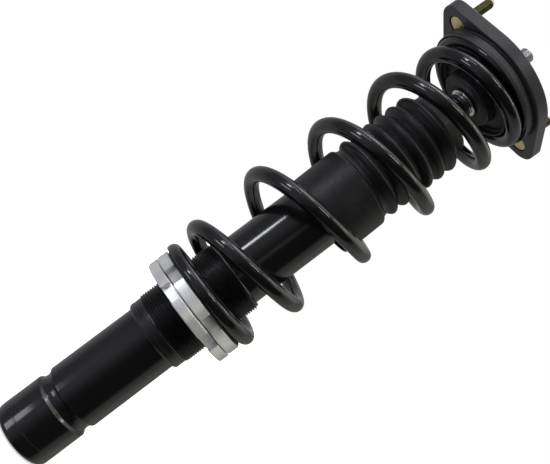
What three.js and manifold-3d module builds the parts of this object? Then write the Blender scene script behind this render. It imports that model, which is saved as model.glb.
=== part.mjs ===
// Adjustable coil-over suspension strut, as an assembly of separate pieces.
// Millimetres. +Z runs up the strut along the piston rod. The origin is the centre of the flat
// bottom of the end cap. +X points along the line through the two studs of the top mount plate.

import * as THREE from "three";
import { mergeVertices } from "three/addons/utils/BufferGeometryUtils.js";
import Module from "manifold-3d";

const wasm = await Module();
wasm.setup();

// ---------------------------------------------------------------- driving dimensions

const GAP = 0.3;                 // clearance kept between two pieces that touch
const FACETS = 32;               // sides of a large turned piece
const SMALL_FACETS = 16;         // sides of a slim turned piece

const TUBE_RADIUS = 25.5;        // 51 mm damper tube
const TUBE_BORE = 22.4;
const FOOT_RADIUS = 25.8;        // the slip-in foot is a little larger than the tube
const FOOT_FILLET = 4.5;
const CAP_TOP = 11.6;
const CAP_SPIGOT_TOP = 18;
const TUBE_TOP = 285;
const GROOVE_LOW = 35.3;         // locating groove rolled into the foot
const GROOVE_HIGH = 45.7;
const GROOVE_RADIUS = 23.2;
const GROOVE_BEAD = 20.4;        // inner radius where the rolled groove stands inwards

const SLEEVE_LOW = 115;          // threaded height-adjusting sleeve
const SLEEVE_THREAD_LOW = 124;
const SLEEVE_HIGH = 189.7;
const SLEEVE_RADIUS = 28.8;
const SLEEVE_LIP_RADIUS = 28;

const RING_RADIUS = 43.5;        // the two notched aluminium rings
const RING_BORE = 29.3;
const RING_CHAMFER = 0.9;
const LOCK_RING_LOW = 143.4;
const LOCK_RING_HIGH = 150.9;
const PERCH_LOW = 151.7;
const PERCH_HIGH = 159.9;
const ISOLATOR_RADIUS = 42;
const NOTCH_COUNT = 6;
const NOTCH_WIDTH = 14;
const NOTCH_DEPTH = 4.5;
const LOCK_RING_TURN = 48.7;     // degrees from +X to the middle of a notch
const PERCH_TURN = 35.7;

const WIRE_RADIUS = 5.85;        // 11.7 mm spring wire
const SPRING_LOW = 161.5;        // ground flat ends of the spring
const SPRING_HIGH = 425.1;
const SPRING_PHASE = 161.7;      // degrees from +X to turn zero
const SPRING_HEIGHTS = [         // turn, height of the wire's centre: closed and ground ends
  [-0.3, 163.2], [0, 164.0], [0.28, 165.6], [0.55, 169.9], [0.78, 176.2], [1.0, 185.6],
  [1.28, 200.5], [1.55, 215.1], [2.0, 243.1], [2.55, 276.6], [3.0, 304.2], [3.55, 335.8],
  [4.0, 362.1], [4.28, 377.2], [4.55, 389.6], [4.78, 397.9], [5.03, 405.8], [5.28, 412.3],
  [5.5, 416.6], [5.68, 419.2], [6.0, 422.3], [6.22, 424.2], [6.45, 428.2],
];
const SPRING_RADII = [           // turn, radius of the coil
  [-0.3, 40.2], [0.3, 40.2], [1.0, 43.7], [1.5, 46.0], [2.0, 46.7], [2.5, 47.9], [3.0, 47.7],
  [3.5, 46.9], [4.0, 46.6], [4.4, 45.4], [4.7, 43.6], [5.03, 41.9], [5.35, 42.2], [6.45, 42.4],
];

const ROD_RADIUS = 10;
const ROD_THREAD_RADIUS = 6;
const ROD_SHOULDER = 404.2;
const ROD_TIP = 470;

const ROD_LOW = 137;
const REBOUND_STOP_LOW = 246;

const CYLINDER_BORE = 16;        // pressure tube inside the strut tube
const CYLINDER_RADIUS = 17.4;
const CYLINDER_LOW = 31.3;
const CYLINDER_HIGH = 260.7;
const PISTON_LOW = 146.3;
const PISTON_HIGH = 162;
const PISTON_LAND = 3.9;
const GUIDE_SPIGOT = 5.5;        // depth of the rod guide's spigot in the pressure tube
const SEAL_LOW = 274.8;          // rod seal and the gland nut above it
const SEAL_HIGH = 279;
const GLAND_NUT_HIGH = 290;

const BOOT_LOW = 264.8;          // dust boot: skirt, neck, bellows and collar
const BOOT_HIGH = 382.5;
const BOOT_WALL = 1.8;
const SKIRT_RADIUS = 33;
const SKIRT_HIGH = 300;
const NECK_RADIUS = 30.3;
const BELLOWS_LOW = 306;
const BELLOWS_HIGH = 372;
const BELLOWS_FOLDS = 6;
const BELLOWS_PEAK = 33;
const BELLOWS_VALLEY = 28.6;
const COLLAR_RADIUS = 25.8;
const COLLAR_TOP_RADIUS = 24.4;
const BUMP_STOP_LOW = 351.3;     // foam bump stop inside the boot
const BUMP_STOP_HIGH = 380;

const HUB_RADIUS = 22.7;         // steel cup that the bump stop meets
const HUB_LOW = 406.7;
const HUB_HIGH = 417.6;
const SEAT_RADIUS = 49;          // upper spring seat
const SEAT_LIP_RADIUS = 36;
const SEAT_LIP_LOW = 412.5;
const SEAT_FLANGE_LOW = 425.4;
const SEAT_FLANGE_HIGH = 427.6;
const SEAT_WEB_HIGH = 421.1;
const RACE_BORE = 22;            // thrust bearing above the seat
const RACE_RADIUS = 33;
const BALL_CIRCLE = 27.5;
const BALL_RADIUS = 1.7;
const BALL_HEIGHT = 425.5;

const PLATE_LOW = 430;           // top mount plate, a disc with two opposite lobes
const PLATE_THICKNESS = 9.5;
const PLATE_RADIUS = 52;
const LOBE_RADIUS = 15;
const LOBE_OFFSET = 54.3;
const STUD_OFFSET = 52.8;
const PLATE_BORE = 17;
const BOSS_RADIUS = 24;
const BOSS_HIGH = 446;
const SLEEVE_BORE = 6.3;         // bore of everything clamped on the rod's thread
const SPACER_RADIUS = 10.5;
const SPACER_HIGH = 447.6;
const TOP_WASHER_HIGH = 450.2;
const ROD_NUT_HEIGHT = 8;
const PISTON_NUT_HEIGHT = 6.6;

const STUD_HEAD_RADIUS = 7.6;
const STUD_HEAD_LOW = 431.4;
const STUD_HEAD_HEIGHT = 3;
const STUD_RECESS_RADIUS = 8.2;
const STUD_KNURL_RADIUS = 4.5;
const STUD_KNURL_HIGH = 447;
const STUD_THREAD_RADIUS = 4;
const STUD_TIP = 464;

// ---------------------------------------------------------------- materials

const finish = (color, roughness, metalness) =>
  new THREE.MeshStandardMaterial({ color, roughness, metalness });

const blackPaint = () => finish(0x16171a, 0.3, 0.2);
const satinBlack = () => finish(0x1d1e21, 0.45, 0.2);
const darkPhosphate = () => finish(0x2b2c2e, 0.55, 0.6);
const bareAluminium = () => finish(0xc9c9c6, 0.3, 1.0);
const brightSteel = () => finish(0xbfc2c4, 0.25, 1.0);
const chrome = () => finish(0xdfe2e5, 0.08, 1.0);
const yellowZinc = () => finish(0xc2b277, 0.4, 0.9);
const blackRubber = () => finish(0x1b1b1c, 0.75, 0.0);
const yellowFoam = () => finish(0xb8a46a, 0.8, 0.0);
const brownPlastic = () => finish(0x5a4632, 0.6, 0.0);

// ---------------------------------------------------------------- helpers

const strut = new THREE.Group();

function place(name, geometry, material) {
  const mesh = new THREE.Mesh(geometry, material);
  mesh.name = name;
  strut.add(mesh);
  return mesh;
}

// A profile is a list of [radius, height] points with the material on its left-hand side.
function turned(profile, facets = FACETS) {
  const points = profile.map(([radius, height]) => new THREE.Vector2(radius, height));
  return new THREE.LatheGeometry(points, facets).rotateX(Math.PI / 2);
}

function turnedRing(profile, facets = FACETS) {
  return turned([...profile, profile[0]], facets);
}

// Plain ring with a small chamfer on its outer edges.
function washer(bore, radius, low, high, chamfer = 0, facets = FACETS) {
  const profile = [[bore, low], [radius - chamfer, low]];
  if (chamfer > 0) profile.push([radius, low + chamfer], [radius, high - chamfer]);
  profile.push([radius - chamfer, high], [bore, high]);
  return turnedRing(profile, facets);
}

// Points of a round stretch of a profile; angles in degrees, 0 pointing outwards, 90 up.
function arc(radius, height, size, from, to, steps) {
  const points = [];
  for (let step = 0; step <= steps; step += 1) {
    const angle = THREE.MathUtils.degToRad(from + ((to - from) * step) / steps);
    points.push([radius + size * Math.cos(angle), height + size * Math.sin(angle)]);
  }
  return points;
}

function toSolid(geometry) {
  const bare = geometry.clone();
  bare.deleteAttribute("normal");
  bare.deleteAttribute("uv");
  const merged = mergeVertices(bare, 1e-4);
  return new wasm.Manifold(new wasm.Mesh({
    numProp: 3,
    vertProperties: new Float32Array(merged.attributes.position.array),
    triVerts: new Uint32Array(merged.index.array),
  }));
}

function toGeometry(solid) {
  const mesh = solid.getMesh();
  const geometry = new THREE.BufferGeometry();
  geometry.setAttribute("position", new THREE.BufferAttribute(mesh.vertProperties, 3));
  geometry.setIndex(new THREE.BufferAttribute(mesh.triVerts, 1));
  geometry.computeVertexNormals();
  return geometry;
}

// ---------------------------------------------------------------- damper body

function endCap() {
  return turned([
    [0, 0],
    ...arc(FOOT_RADIUS - FOOT_FILLET, FOOT_FILLET, FOOT_FILLET, -90, 0, 4),
    [FOOT_RADIUS, CAP_TOP - 0.5],
    [FOOT_RADIUS - 0.5, CAP_TOP],
    [TUBE_BORE - 0.4, CAP_TOP],
    [TUBE_BORE - 0.4, CAP_SPIGOT_TOP],
    [0, CAP_SPIGOT_TOP],
  ]);
}

// The groove is rolled, so the bore has a matching bead.
function strutTube() {
  const low = CAP_TOP + GAP;
  return turnedRing([
    [TUBE_BORE, low],
    [FOOT_RADIUS - 0.5, low],
    [FOOT_RADIUS, low + 0.5],
    [FOOT_RADIUS, GROOVE_LOW],
    [GROOVE_RADIUS + 1.1, GROOVE_LOW + 1.6],
    [GROOVE_RADIUS, GROOVE_LOW + 4],
    [GROOVE_RADIUS, GROOVE_HIGH - 2.6],
    [GROOVE_RADIUS + 1, GROOVE_HIGH - 0.8],
    [TUBE_RADIUS, GROOVE_HIGH],
    [TUBE_RADIUS, TUBE_TOP - 0.6],
    [TUBE_RADIUS - 0.6, TUBE_TOP],
    [TUBE_BORE, TUBE_TOP],
    [TUBE_BORE, GROOVE_HIGH + 1],
    [GROOVE_BEAD, GROOVE_HIGH - 1.6],
    [GROOVE_BEAD, GROOVE_LOW + 2.6],
    [TUBE_BORE, GROOVE_LOW],
  ]);
}

function threadedSleeve() {
  const bore = TUBE_RADIUS + GAP + 0.1;
  return turnedRing([
    [bore, SLEEVE_LOW],
    [SLEEVE_LIP_RADIUS - 1.2, SLEEVE_LOW],
    [SLEEVE_LIP_RADIUS, SLEEVE_LOW + 1.4],
    [SLEEVE_LIP_RADIUS, SLEEVE_THREAD_LOW],
    [SLEEVE_RADIUS, SLEEVE_THREAD_LOW + 0.8],
    [SLEEVE_RADIUS, SLEEVE_HIGH - 1.2],
    [SLEEVE_RADIUS - 1.2, SLEEVE_HIGH],
    [bore, SLEEVE_HIGH],
  ]);
}

function baseValve() {
  const shoulder = CYLINDER_LOW - GAP;
  return turnedRing([
    [2.5, CAP_SPIGOT_TOP + GAP],
    [19, CAP_SPIGOT_TOP + GAP],
    [19, shoulder],
    [CYLINDER_BORE - 0.4, shoulder],
    [CYLINDER_BORE - 0.4, shoulder + 5],
    [2.5, shoulder + 5],
  ], SMALL_FACETS);
}

const innerCylinder = () =>
  washer(CYLINDER_BORE, CYLINDER_RADIUS, CYLINDER_LOW, CYLINDER_HIGH);

function rodGuide() {
  const low = CYLINDER_HIGH + GAP;
  const high = SEAL_LOW - GAP;
  const spigotLow = low - GUIDE_SPIGOT;
  return turnedRing([
    [ROD_RADIUS + GAP, spigotLow],
    [CYLINDER_BORE - 0.4, spigotLow],
    [CYLINDER_BORE - 0.4, low],
    [TUBE_BORE - GAP, low],
    [TUBE_BORE - GAP, high],
    [ROD_RADIUS + GAP, high],
  ]);
}

const rodSeal = () => washer(ROD_RADIUS + GAP, TUBE_BORE - GAP, SEAL_LOW, SEAL_HIGH);

function glandNut() {
  const bore = ROD_RADIUS + 0.7;
  const low = SEAL_HIGH + GAP;
  return turnedRing([
    [bore, low],
    [TUBE_BORE - GAP, low],
    [TUBE_BORE - GAP, TUBE_TOP + GAP],
    [TUBE_RADIUS, TUBE_TOP + GAP],
    [TUBE_RADIUS, GLAND_NUT_HIGH - 0.8],
    [TUBE_RADIUS - 0.8, GLAND_NUT_HIGH],
    [bore, GLAND_NUT_HIGH],
  ]);
}

// ---------------------------------------------------------------- notched rings

function notchedRing(low, high, turn) {
  let ring = toSolid(washer(RING_BORE, RING_RADIUS, low, high, RING_CHAMFER));
  for (let index = 0; index < NOTCH_COUNT; index += 1) {
    const angle = THREE.MathUtils.degToRad(turn) + (index * 2 * Math.PI) / NOTCH_COUNT;
    const cutter = new THREE.BoxGeometry(NOTCH_DEPTH * 2, NOTCH_WIDTH, (high - low) * 2);
    cutter.translate(RING_RADIUS, 0, (low + high) / 2);
    cutter.rotateZ(angle);
    ring = ring.subtract(toSolid(cutter));
  }
  return toGeometry(ring);
}

const perchIsolator = () => washer(RING_BORE + GAP, ISOLATOR_RADIUS, PERCH_HIGH + GAP, SPRING_LOW - GAP);

// ---------------------------------------------------------------- coil spring

// Smooth curve through stations [turn, value], ends included.
function alongSpring(stations, turn) {
  const last = stations.length - 1;
  let index = 0;
  while (index < last - 1 && turn > stations[index + 1][0]) index += 1;
  const slopeAt = (k) => {
    const before = stations[Math.max(k - 1, 0)];
    const after = stations[Math.min(k + 1, last)];
    return (after[1] - before[1]) / (after[0] - before[0]);
  };
  const [start, low] = stations[index];
  const [end, high] = stations[index + 1];
  const span = end - start;
  const t = (turn - start) / span;
  return (2 * t ** 3 - 3 * t ** 2 + 1) * low
    + (t ** 3 - 2 * t ** 2 + t) * span * slopeAt(index)
    + (3 * t ** 2 - 2 * t ** 3) * high
    + (t ** 3 - t ** 2) * span * slopeAt(index + 1);
}

function springPath(stepsPerTurn) {
  const start = SPRING_HEIGHTS[0][0];
  const turns = SPRING_HEIGHTS[SPRING_HEIGHTS.length - 1][0] - start;
  const steps = Math.round(turns * stepsPerTurn);
  const points = [];
  for (let step = 0; step <= steps; step += 1) {
    const turn = start + (turns * step) / steps;
    const angle = THREE.MathUtils.degToRad(SPRING_PHASE + 360 * turn);
    const radius = alongSpring(SPRING_RADII, turn);
    const height = alongSpring(SPRING_HEIGHTS, turn);
    points.push(new THREE.Vector3(radius * Math.cos(angle), radius * Math.sin(angle), height));
  }
  return points;
}

function coilSpring() {
  const points = springPath(24);
  const path = new THREE.CatmullRomCurve3(points);
  const section = new THREE.Shape();
  section.absarc(0, 0, WIRE_RADIUS, 0, 2 * Math.PI);
  const wire = new THREE.ExtrudeGeometry(section, {
    steps: points.length - 1,
    curveSegments: 4,
    extrudePath: path,
  });
  const slab = new THREE.BoxGeometry(120, 120, SPRING_HIGH - SPRING_LOW);
  slab.translate(0, 0, (SPRING_HIGH + SPRING_LOW) / 2);
  return toGeometry(toSolid(wire).intersect(toSolid(slab)));
}

// ---------------------------------------------------------------- rod and piston

function pistonRod() {
  const pistonSpigot = 5.6;
  return turned([
    [0, ROD_LOW],
    [pistonSpigot - 0.6, ROD_LOW],
    [pistonSpigot, ROD_LOW + 0.6],
    [pistonSpigot, PISTON_HIGH + GAP],
    [ROD_RADIUS, PISTON_HIGH + GAP],
    [ROD_RADIUS, ROD_SHOULDER - 1.3],
    [ROD_RADIUS - 1.3, ROD_SHOULDER],
    [ROD_THREAD_RADIUS, ROD_SHOULDER],
    [ROD_THREAD_RADIUS, ROD_TIP - 1],
    [ROD_THREAD_RADIUS - 1, ROD_TIP],
    [0, ROD_TIP],
  ], SMALL_FACETS);
}

// The groove in the piston's rim holds the sliding band.
function piston() {
  const bore = 6;
  const radius = 15.3;
  const grooveRadius = 14.2;
  return turnedRing([
    [bore, PISTON_LOW],
    [radius, PISTON_LOW],
    [radius, PISTON_LOW + PISTON_LAND],
    [grooveRadius, PISTON_LOW + PISTON_LAND],
    [grooveRadius, PISTON_HIGH - PISTON_LAND],
    [radius, PISTON_HIGH - PISTON_LAND],
    [radius, PISTON_HIGH],
    [bore, PISTON_HIGH],
  ], SMALL_FACETS);
}

function pistonBand() {
  const low = PISTON_LOW + PISTON_LAND + GAP;
  const high = PISTON_HIGH - PISTON_LAND - GAP;
  return washer(14.5, 15.7, low, high, 0, SMALL_FACETS);
}

function hexNut(bore, acrossFlats, low, height) {
  const outline = new THREE.Shape();
  const cornerRadius = acrossFlats / Math.sqrt(3);
  for (let corner = 0; corner < 6; corner += 1) {
    const angle = (corner * Math.PI) / 3;
    const point = [cornerRadius * Math.cos(angle), cornerRadius * Math.sin(angle)];
    if (corner === 0) outline.moveTo(...point);
    else outline.lineTo(...point);
  }
  outline.closePath();
  const hole = new THREE.Path();
  hole.absarc(0, 0, bore, 0, 2 * Math.PI, true);
  outline.holes.push(hole);
  const nut = new THREE.ExtrudeGeometry(outline, {
    depth: height,
    bevelEnabled: false,
    curveSegments: SMALL_FACETS / 2,
  });
  return nut.translate(0, 0, low);
}

const pistonNut = () =>
  hexNut(6, 17, PISTON_LOW - GAP - PISTON_NUT_HEIGHT, PISTON_NUT_HEIGHT);

function reboundStop() {
  const high = CYLINDER_HIGH - GUIDE_SPIGOT;
  return washer(ROD_RADIUS + GAP, 14.2, REBOUND_STOP_LOW, high, 0.5, SMALL_FACETS);
}

const rodWasher = () =>
  washer(SLEEVE_BORE, 12, ROD_SHOULDER + GAP, HUB_LOW - GAP, 0.4, SMALL_FACETS);

// ---------------------------------------------------------------- boot and bump stop

function bellowsFolds(inset) {
  const points = [];
  const foldHeight = (BELLOWS_HIGH - BELLOWS_LOW) / BELLOWS_FOLDS;
  for (let fold = 0; fold < BELLOWS_FOLDS; fold += 1) {
    const low = BELLOWS_LOW + fold * foldHeight;
    points.push([BELLOWS_PEAK - inset, low + foldHeight / 2]);
    points.push([BELLOWS_VALLEY - inset, low + foldHeight]);
  }
  return points;
}

function dustBoot() {
  const outside = [
    [SKIRT_RADIUS - 0.8, BOOT_LOW],
    [SKIRT_RADIUS, BOOT_LOW + 1.2],
    [SKIRT_RADIUS, SKIRT_HIGH - 2],
    [NECK_RADIUS, BELLOWS_LOW - 2],
    [NECK_RADIUS - 1, BELLOWS_LOW],
    ...bellowsFolds(0),
    [COLLAR_RADIUS, BELLOWS_HIGH + 2],
    [COLLAR_RADIUS, BOOT_HIGH - 1.6],
    [COLLAR_TOP_RADIUS, BOOT_HIGH],
  ];
  const inside = [
    [SKIRT_RADIUS - BOOT_WALL, BOOT_LOW],
    [SKIRT_RADIUS - BOOT_WALL, SKIRT_HIGH - 2.6],
    [NECK_RADIUS - BOOT_WALL, BELLOWS_LOW - 2.6],
    [NECK_RADIUS - BOOT_WALL - 1, BELLOWS_LOW],
    ...bellowsFolds(BOOT_WALL),
    [COLLAR_RADIUS - BOOT_WALL, BELLOWS_HIGH + 2.6],
    [COLLAR_RADIUS - BOOT_WALL, BOOT_HIGH - 2.2],
  ];
  const hole = ROD_RADIUS + 0.4;
  return turnedRing([
    ...outside,
    [hole, BOOT_HIGH],
    [hole, BOOT_HIGH - 2.2],
    ...inside.reverse(),
  ]);
}

function bumpStop() {
  const bore = ROD_RADIUS + 0.4;
  const waist = (BUMP_STOP_LOW + BUMP_STOP_HIGH) / 2;
  return turnedRing([
    [bore, BUMP_STOP_LOW],
    [16, BUMP_STOP_LOW],
    [19, BUMP_STOP_LOW + 6],
    [19, waist - 2.5],
    [16.5, waist],
    [20, waist + 2.5],
    [20, BUMP_STOP_HIGH],
    [bore, BUMP_STOP_HIGH],
  ], SMALL_FACETS);
}

// ---------------------------------------------------------------- upper seat and bearing

function bumpStopCup() {
  const floor = HUB_LOW + 3.5;
  const wall = 3;
  const edge = 2.5;
  return turnedRing([
    [SLEEVE_BORE, HUB_LOW],
    ...arc(HUB_RADIUS - edge, HUB_LOW + edge, edge, -90, 0, 3),
    [HUB_RADIUS, HUB_HIGH],
    [HUB_RADIUS - wall, HUB_HIGH],
    [HUB_RADIUS - wall, floor],
    [SLEEVE_BORE, floor],
  ]);
}

// Pressed hat: flange for the spring, a lip inside the top coil, and a web with a step.
function upperSpringSeat() {
  const bore = SPACER_RADIUS + 0.4;
  const webLow = HUB_HIGH + GAP;
  const stepRadius = 28;
  const stepLow = 415.3;
  const lipInside = SEAT_LIP_RADIUS - 2.6;
  return turnedRing([
    [bore, webLow],
    [HUB_RADIUS + 0.4, webLow],
    [HUB_RADIUS + 0.4, stepLow],
    [stepRadius, stepLow],
    [stepRadius, webLow + 0.4],
    [lipInside, webLow + 0.4],
    [lipInside, SEAT_LIP_LOW + 0.5],
    [lipInside + 0.5, SEAT_LIP_LOW],
    [SEAT_LIP_RADIUS - 0.5, SEAT_LIP_LOW],
    [SEAT_LIP_RADIUS, SEAT_LIP_LOW + 0.5],
    [SEAT_LIP_RADIUS, SEAT_FLANGE_LOW],
    [SEAT_RADIUS - 0.6, SEAT_FLANGE_LOW],
    [SEAT_RADIUS, SEAT_FLANGE_LOW + 0.6],
    [SEAT_RADIUS, SEAT_FLANGE_HIGH],
    [RACE_RADIUS + 0.4, SEAT_FLANGE_HIGH],
    [RACE_RADIUS + 0.4, SEAT_WEB_HIGH],
    [bore, SEAT_WEB_HIGH],
  ]);
}

const bearingLowerRace = () =>
  washer(RACE_BORE, RACE_RADIUS, SEAT_WEB_HIGH + GAP, BALL_HEIGHT - BALL_RADIUS - GAP);

const bearingUpperRace = () =>
  washer(RACE_BORE, RACE_RADIUS, BALL_HEIGHT + BALL_RADIUS + GAP, PLATE_LOW - GAP);

const bearingBallRing = () => turned(arc(BALL_CIRCLE, BALL_HEIGHT, BALL_RADIUS, 0, 360, 8));

const seatShield = () =>
  washer(RACE_RADIUS + 0.6, SEAT_RADIUS, SEAT_FLANGE_HIGH + GAP, PLATE_LOW - GAP, 0.5);

const spacerTube = () =>
  washer(SLEEVE_BORE, SPACER_RADIUS, HUB_LOW + 3.5 + GAP, SPACER_HIGH, 0, SMALL_FACETS);

// ---------------------------------------------------------------- top mount

// Outline of the plate: disc and lobe arcs joined by their common tangents.
function plateOutline() {
  const tangent = Math.acos((PLATE_RADIUS - LOBE_RADIUS) / LOBE_OFFSET);
  const outline = new THREE.Shape();
  outline.absarc(LOBE_OFFSET, 0, LOBE_RADIUS, -tangent, tangent);
  outline.absarc(0, 0, PLATE_RADIUS, tangent, Math.PI - tangent);
  outline.absarc(-LOBE_OFFSET, 0, LOBE_RADIUS, Math.PI - tangent, Math.PI + tangent);
  outline.absarc(0, 0, PLATE_RADIUS, Math.PI + tangent, 2 * Math.PI - tangent);
  outline.closePath();
  return outline;
}

function roundCutter(x, radius, low, high, facets) {
  const cutter = new THREE.CylinderGeometry(radius, radius, high - low, facets);
  cutter.rotateX(Math.PI / 2);
  return toSolid(cutter.translate(x, 0, (low + high) / 2));
}

function topMountPlate() {
  const blank = new THREE.ExtrudeGeometry(plateOutline(), {
    depth: PLATE_THICKNESS,
    bevelEnabled: false,
    curveSegments: 14,
  });
  const high = PLATE_LOW + PLATE_THICKNESS;
  let plate = toSolid(blank.translate(0, 0, PLATE_LOW));
  plate = plate.add(toSolid(washer(PLATE_BORE, BOSS_RADIUS, high - 1, BOSS_HIGH, 1)));
  plate = plate.subtract(roundCutter(0, PLATE_BORE, PLATE_LOW - 1, BOSS_HIGH + 1, FACETS));
  for (const x of [STUD_OFFSET, -STUD_OFFSET]) {
    const recessHigh = STUD_HEAD_LOW + STUD_HEAD_HEIGHT + GAP;
    const holeRadius = STUD_KNURL_RADIUS + GAP;
    plate = plate.subtract(
      roundCutter(x, STUD_RECESS_RADIUS, PLATE_LOW - 1, recessHigh, SMALL_FACETS));
    plate = plate.subtract(roundCutter(x, holeRadius, PLATE_LOW, high + 1, SMALL_FACETS));
  }
  return toGeometry(plate);
}

const mountBush = () =>
  washer(SPACER_RADIUS + 0.4, PLATE_BORE - GAP, PLATE_LOW + 0.2, BOSS_HIGH, 0.5);

function mountStud(x) {
  const headHigh = STUD_HEAD_LOW + STUD_HEAD_HEIGHT;
  const stud = turned([
    [0, STUD_HEAD_LOW],
    [STUD_HEAD_RADIUS - 0.5, STUD_HEAD_LOW],
    [STUD_HEAD_RADIUS, STUD_HEAD_LOW + 0.5],
    [STUD_HEAD_RADIUS, headHigh],
    [STUD_KNURL_RADIUS, headHigh],
    [STUD_KNURL_RADIUS, STUD_KNURL_HIGH],
    [STUD_THREAD_RADIUS, STUD_KNURL_HIGH + 0.6],
    [STUD_THREAD_RADIUS, STUD_TIP - 3],
    [STUD_THREAD_RADIUS - 1.6, STUD_TIP],
    [0, STUD_TIP],
  ], SMALL_FACETS);
  return stud.translate(x, 0, 0);
}

const rodTopWasher = () =>
  washer(SLEEVE_BORE, 16, SPACER_HIGH + GAP, TOP_WASHER_HIGH, 0.4, SMALL_FACETS);

const rodNut = () => hexNut(SLEEVE_BORE, 18, TOP_WASHER_HIGH + GAP, ROD_NUT_HEIGHT);

// ---------------------------------------------------------------- assembly

place("strut_tube", strutTube(), blackPaint());
place("end_cap", endCap(), blackPaint());
place("threaded_sleeve", threadedSleeve(), satinBlack());
place("base_valve", baseValve(), darkPhosphate());
place("inner_cylinder", innerCylinder(), brightSteel());
place("rod_guide", rodGuide(), darkPhosphate());
place("rod_seal", rodSeal(), blackRubber());
place("gland_nut", glandNut(), darkPhosphate());

place("lock_ring", notchedRing(LOCK_RING_LOW, LOCK_RING_HIGH, LOCK_RING_TURN), bareAluminium());
place("spring_perch", notchedRing(PERCH_LOW, PERCH_HIGH, PERCH_TURN), bareAluminium());
place("perch_isolator", perchIsolator(), blackRubber());
place("coil_spring", coilSpring(), blackPaint());

place("piston_rod", pistonRod(), chrome());
place("piston", piston(), darkPhosphate());
place("piston_band", pistonBand(), brownPlastic());
place("piston_nut", pistonNut(), brightSteel());
place("rebound_stop", reboundStop(), darkPhosphate());
place("rod_washer", rodWasher(), brightSteel());

place("dust_boot", dustBoot(), blackRubber());
place("bump_stop", bumpStop(), yellowFoam());

place("bump_stop_cup", bumpStopCup(), satinBlack());
place("upper_spring_seat", upperSpringSeat(), satinBlack());
place("bearing_lower_race", bearingLowerRace(), brightSteel());
place("bearing_ball_ring", bearingBallRing(), brightSteel());
place("bearing_upper_race", bearingUpperRace(), brightSteel());
place("seat_shield", seatShield(), blackRubber());
place("spacer_tube", spacerTube(), brightSteel());

place("top_mount_plate", topMountPlate(), satinBlack());
place("mount_bush", mountBush(), blackRubber());
place("mount_stud_1", mountStud(STUD_OFFSET), yellowZinc());
place("mount_stud_2", mountStud(-STUD_OFFSET), yellowZinc());
place("rod_top_washer", rodTopWasher(), brightSteel());
place("rod_nut", rodNut(), brightSteel());

export default strut;
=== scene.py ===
"""Adjustable coil-over suspension strut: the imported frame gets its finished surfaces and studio."""

import math

import bmesh
import bpy
from mathutils import Matrix, Vector


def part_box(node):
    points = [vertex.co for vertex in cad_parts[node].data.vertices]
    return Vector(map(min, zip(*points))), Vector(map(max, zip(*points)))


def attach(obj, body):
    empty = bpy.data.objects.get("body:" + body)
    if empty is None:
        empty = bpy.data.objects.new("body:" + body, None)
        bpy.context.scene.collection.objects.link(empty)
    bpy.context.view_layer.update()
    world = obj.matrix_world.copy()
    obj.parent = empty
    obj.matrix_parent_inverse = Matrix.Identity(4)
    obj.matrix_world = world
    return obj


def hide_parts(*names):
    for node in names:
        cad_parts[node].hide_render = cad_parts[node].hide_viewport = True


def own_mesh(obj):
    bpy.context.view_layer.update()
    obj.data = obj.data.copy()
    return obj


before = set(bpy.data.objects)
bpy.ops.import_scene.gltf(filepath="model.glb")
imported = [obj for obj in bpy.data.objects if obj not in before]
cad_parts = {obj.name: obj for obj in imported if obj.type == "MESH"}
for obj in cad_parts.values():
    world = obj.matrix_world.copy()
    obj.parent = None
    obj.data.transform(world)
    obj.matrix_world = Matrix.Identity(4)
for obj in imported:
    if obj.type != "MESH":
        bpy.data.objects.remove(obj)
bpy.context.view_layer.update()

MM = 0.001
TAU = 2 * math.pi

# ---------------------------------------------------------------- sizes in millimetres

FOOT_FILLET = 4.5
GROOVE_LOW, GROOVE_HIGH, GROOVE_RADIUS = 35.3, 45.7, 23.2
BODY_RADIUS = 25.5

SLEEVE_THREAD_LOW = 124.0
SLEEVE_PITCH = 2.0
SLEEVE_CREST, SLEEVE_ROOT, SLEEVE_LIP = 29.15, 27.85, 28.0
SLEEVE_BORE = 25.9

RING_RADIUS, RING_BORE, RING_EDGE = 43.5, 29.3, 0.75
NOTCH_COUNT, NOTCH_WIDTH, NOTCH_DEPTH = 6, 14.0, 4.5
LOCK_RING_TURN, PERCH_TURN = 48.7, 35.7

WIRE_RADIUS = 5.85
SPRING_PHASE = 161.7
SPRING_HEIGHTS = [               # turn, height of the wire's centre: closed and ground ends
    (-0.3, 163.2), (0, 164.0), (0.28, 165.6), (0.55, 169.9), (0.78, 176.2), (1.0, 185.6),
    (1.28, 200.5), (1.55, 215.1), (2.0, 243.1), (2.55, 276.6), (3.0, 304.2), (3.55, 335.8),
    (4.0, 362.1), (4.28, 377.2), (4.55, 389.6), (4.78, 397.9), (5.03, 405.8), (5.28, 412.3),
    (5.5, 416.6), (5.68, 419.2), (6.0, 422.3), (6.22, 424.2), (6.45, 428.2)]
SPRING_RADII = [                 # turn, radius of the coil
    (-0.3, 40.2), (0.3, 40.2), (1.0, 43.7), (1.5, 46.0), (2.0, 46.7), (2.5, 47.9), (3.0, 47.7),
    (3.5, 46.9), (4.0, 46.6), (4.4, 45.4), (4.7, 43.6), (5.03, 41.9), (5.35, 42.2), (6.45, 42.4)]
SPRING_LEAN = [                  # turn, sideways bow of the loaded spring towards the lit side
    (-0.3, 0.0), (0.5, 0.4), (1.0, 0.8), (1.5, 2.3), (2.0, 3.0), (2.5, 2.6), (3.0, 1.4), (3.5, 1.3),
    (4.0, 1.4), (4.5, 1.3), (5.0, 0.5), (5.3, 0.0), (6.45, 0.0)]

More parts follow.
